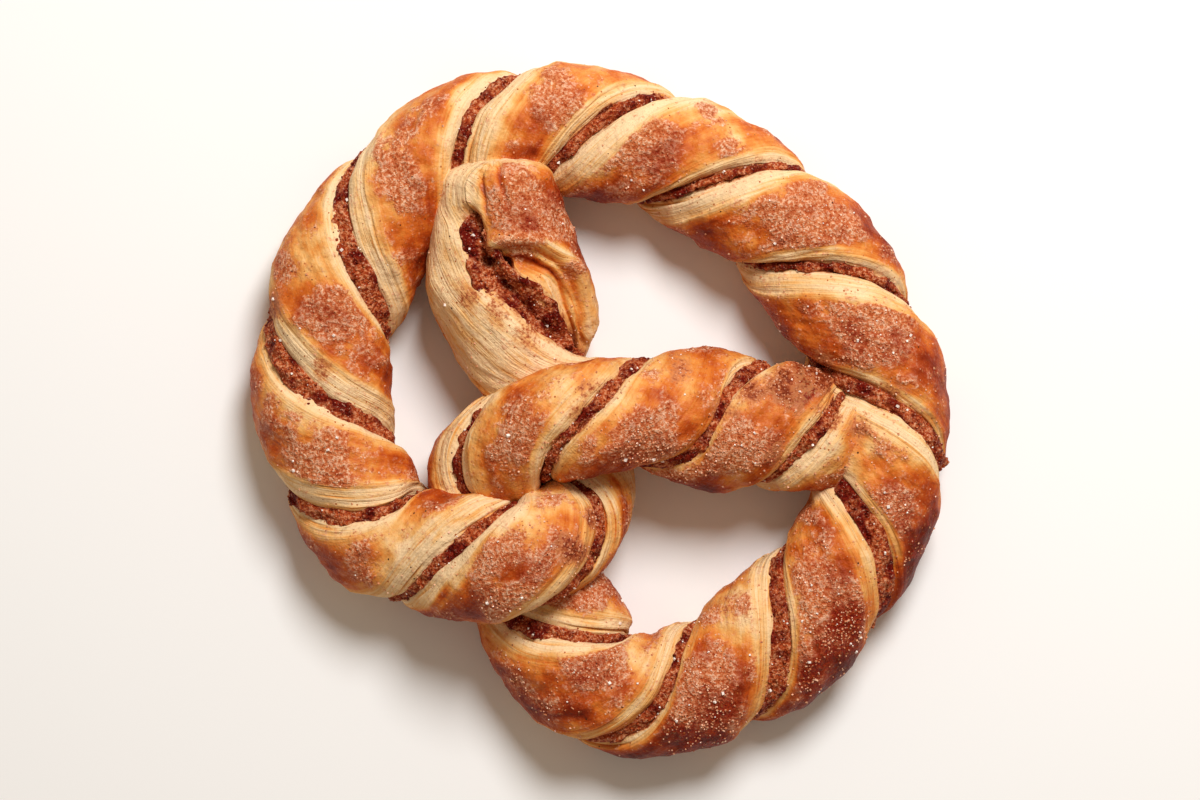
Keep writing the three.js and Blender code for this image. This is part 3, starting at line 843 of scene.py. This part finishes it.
def melted_sugar_grain():
    """Fine sugar half melted on the crust and tinted rosy brown by cinnamon: small glints, and a tint
    that changes every millimetre or so."""
    material, tree, shader = new_material("melted_sugar_grains")
    place = add(tree, "TexCoord", {}, give="Object")
    tint = add(tree, "TexNoise", {}, place, Scale=METRE / 1.11, Detail=1.0)
    colour = add(tree, "ValToRGB", {}, tint, stops=(
        (0.35, "#CC7C52"), (0.50, "#E09E76"), (0.65, "#F0C2A2")))
    tree.links.new(colour, shader.inputs["Base Color"])
    shader.inputs["Roughness"].default_value = 0.3
    shader.inputs["IOR"].default_value = 1.5
    return material


# ---------------------------------------------------------------- strewn sugar and crumbs
def surface_samples(piece, count, seed, chance):
    """Places and normals spread over a piece, and the random numbers to go on with. chance: from face
    middles, normals and maps to 0 to 1."""
    mesh = piece.data
    mesh.calc_loop_triangles()
    faces = len(mesh.loop_triangles)
    corners = np.empty(faces * 3, np.int32)
    loops = np.empty(faces * 3, np.int32)
    mesh.loop_triangles.foreach_get("vertices", corners)
    mesh.loop_triangles.foreach_get("loops", loops)
    place = np.empty(len(mesh.vertices) * 3, np.float32)
    mesh.vertices.foreach_get("co", place)
    a, b, c = np.moveaxis(place.reshape(-1, 3)[corners.reshape(-1, 3)], 1, 0)
    normal = np.cross(b - a, c - a)
    area = np.linalg.norm(normal, axis=1)
    normal /= np.maximum(area, 1e-15)[:, None]
    maps = {}
    for layer in mesh.uv_layers:
        values = np.empty(len(mesh.loops) * 2, np.float32)
        layer.data.foreach_get("uv", values)
        maps[layer.name] = values.reshape(-1, 2)[loops.reshape(-1, 3)].mean(axis=1)
    weight = area * chance((a + b + c) / 3 / MM, normal, maps)
    rng = np.random.default_rng(seed)
    chosen = rng.choice(faces, count, p=weight / weight.sum())
    u, v = rng.random((2, count, 1))
    over = u + v > 1
    u, v = np.where(over, 1 - u, u), np.where(over, 1 - v, v)
    return a[chosen] + u * (b - a)[chosen] + v * (c - a)[chosen], normal[chosen], rng


def strewn(name, template, places, normals, sizes, sink, rng):
    """One mesh of many copies of a small template, turned at random and pressed into the surface."""
    deselect()
    mesh = template.data
    shape = np.empty(len(mesh.vertices) * 3, np.float32)
    mesh.vertices.foreach_get("co", shape)
    shape = shape.reshape(-1, 3)
    faces = [tuple(f.vertices) for f in mesh.polygons]
    bpy.data.objects.remove(template)
    count = len(places)
    q = rng.normal(size=(count, 4))
    w, x, y, z = (q / np.linalg.norm(q, axis=1, keepdims=True)).T
    turn = np.array([[1 - 2 * (y * y + z * z), 2 * (x * y - z * w), 2 * (x * z + y * w)],
                     [2 * (x * y + z * w), 1 - 2 * (x * x + z * z), 2 * (y * z - x * w)],
                     [2 * (x * z - y * w), 2 * (y * z + x * w), 1 - 2 * (x * x + y * y)]])
    stretch = rng.uniform(0.75, 1.25, (count, 1, 3))
    grown = shape[None] * stretch * sizes[:, None, None]
    spots = np.einsum("ijn,nkj->nki", turn, grown) + (places + normals * (sizes * sink)[:, None])[:, None]
    spots[..., 2] = np.maximum(spots[..., 2], 0.0)
    first_corner = np.arange(count)[:, None, None] * len(shape)
    all_faces = (np.array(faces)[None] + first_corner).reshape(-1, len(faces[0]))
    made = bpy.data.meshes.new(name)
    made.from_pydata(spots.reshape(-1, 3).tolist(), [], all_faces.tolist())
    piece = bpy.data.objects.new(name, made)
    bpy.context.scene.collection.objects.link(piece)
    return piece


# ---------------------------------------------------------------- the pretzel
def finish_piece(piece, material, node, smooth=True):
    """Gives a piece its material, hangs it from the part's root body, and hides the part's own mesh of the
    node that it stands for.
    """
    deselect()
    bpy.context.view_layer.objects.active = piece
    piece.select_set(True)
    if smooth:
        bpy.ops.object.shade_smooth()
    piece.data.materials.clear()
    piece.data.materials.append(material)
    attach(piece, "root")
    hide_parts(node)


pastry_strand = Strand(RING_SPACING)
pastry_material = baked_pastry()
filling_material = cinnamon_sugar()
lobes = [lobe_of_pastry(number, pastry_strand) for number in (0, 1)]
for lobe in lobes:
    finish_piece(lobe, pastry_material, "pastry")
ribbon = filling_ribbon(Strand(RIBBON_SPACING))
finish_piece(ribbon, filling_material, "cinnamon_filling")


def on_crust(place, normal, maps):
    """Where loose sugar stays: mostly on sugared crust, more of it towards the lower right."""
    more = smoothstep(-60, 70, towards_hot_side(place[:, 0], place[:, 1]))
    share = 0.06 + 0.94 * maps["Zone"][:, 1] ** 2 + 0.5 * maps["Cinnamon"][:, 0]
    return smoothstep(0.0, 0.5, normal[:, 2]) * share * (0.15 + 0.85 * more)


def on_ribbon(place, normal, maps):
    """Only on the ribbon's crests, which show between the layers."""
    return smoothstep(-0.3, 0.3, normal[:, 2]) * (np.abs(maps["Ribbon"][:, 1]) < 0.95)


# How many grains of fine sugar lie on each layer, of coarse sugar on the filling and on each layer, and
# how many crumbs on the filling.
FINE_GRAINS = 4200
FILLING_CRYSTALS = 420
LAYER_CRYSTALS = 130
CRUMBS = 8500


def gather_samples(draws):
    """Places and normals from several pieces in turn, and the last one's random numbers to go on with."""
    places, normals = [], []
    for piece, count, seed, chance in draws:
        spots, facing, rng = surface_samples(piece, count, seed, chance)
        places.append(spots)
        normals.append(facing)
    return np.concatenate(places), np.concatenate(normals), rng


def grains():
    """Fine sugar on both layers of pastry."""
    places, normals, rng = gather_samples([(lobes[0], FINE_GRAINS, 50, on_crust),
                                           (lobes[1], FINE_GRAINS, 51, on_crust)])
    sizes = MM * (0.17 + 0.17 * rng.random(len(places)))
    deselect()
    bpy.ops.mesh.primitive_cube_add(size=1)
    return strewn("sugar_grains", bpy.context.object, places, normals, sizes, 0.2, rng)


def crystals():
    """Coarse sugar: single white crystals, most of them on the filling."""
    places, normals, rng = gather_samples([(ribbon, FILLING_CRYSTALS, 70, on_ribbon),
                                           (lobes[0], LAYER_CRYSTALS, 71, on_crust),
                                           (lobes[1], LAYER_CRYSTALS, 72, on_crust)])
    sizes = MM * (0.22 + 0.35 * rng.random(len(places)) ** 2)
    deselect()
    bpy.ops.mesh.primitive_cube_add(size=1)
    return strewn("sugar_crystals", bpy.context.object, places, normals, sizes, 0.3, rng)


def crumbs():
    """Loose crumbs of the filling, which make its crests rough."""
    places, normals, rng = surface_samples(ribbon, CRUMBS, 60, on_ribbon)
    sizes = MM * rng.uniform(0.16, 0.42, len(places))
    deselect()
    bpy.ops.mesh.primitive_ico_sphere_add(subdivisions=1, radius=1)
    return strewn("cinnamon_crumbs", bpy.context.object, places, normals, sizes, 0.1, rng)


finish_piece(grains(), melted_sugar_grain(), "pastry", smooth=False)
finish_piece(crystals(), sugar_crystal(), "cinnamon_filling", smooth=False)
finish_piece(crumbs(), filling_material, "cinnamon_filling")


# ---------------------------------------------------------------- floor, light and camera
def floor():
    """A matt white board under the pretzel, wide enough to fill every view."""
    deselect()
    bpy.ops.mesh.primitive_plane_add(size=6)
    plane = bpy.context.object
    plane.name = "floor"
    material, tree, shader = new_material("matt_white_board")
    shader.inputs["Base Color"].default_value = linear("#F7F7F6")
    shader.inputs["Roughness"].default_value = 0.9
    plane.data.materials.append(material)


def studio():
    """A soft white lamp high beyond the far side, a little to the right, and a weak warm glow all round."""
    world = bpy.data.worlds.new("studio")
    bpy.context.scene.world = world
    world.use_nodes = True
    background = world.node_tree.nodes["Background"]
    background.inputs["Color"].default_value = linear("#FFE8CE")
    background.inputs["Strength"].default_value = 0.31
    deselect()
    bpy.ops.object.light_add(type="AREA", location=(0.2, 0.5, 0.72))
    lamp = bpy.context.object
    lamp.name = "key"
    lamp.data.shape = "DISK"
    lamp.data.size = 0.36
    lamp.data.energy = 8.4
    lamp.rotation_euler = (-lamp.location).to_track_quat("-Z", "Y").to_euler()
    bpy.context.scene.view_settings.view_transform = "Standard"


# The camera's place, and how wide its frame is at the height of the strand's middle, in mm.
CAMERA_PLACE = (-1.07, 2.24, 800)
FRAME_WIDTH = 256.4
MIDDLE_HEIGHT = 12
SENSOR_WIDTH = 36


def camera():
    """A camera that looks straight down from above the middle."""
    data = bpy.data.cameras.new("camera")
    data.sensor_width = SENSOR_WIDTH
    data.lens = SENSOR_WIDTH * (CAMERA_PLACE[2] - MIDDLE_HEIGHT) / FRAME_WIDTH
    data.clip_start = 0.01
    eye = bpy.data.objects.new("camera", data)
    eye.location = [MM * c for c in CAMERA_PLACE]
    bpy.context.scene.collection.objects.link(eye)
    bpy.context.scene.camera = eye


floor()
studio()
camera()
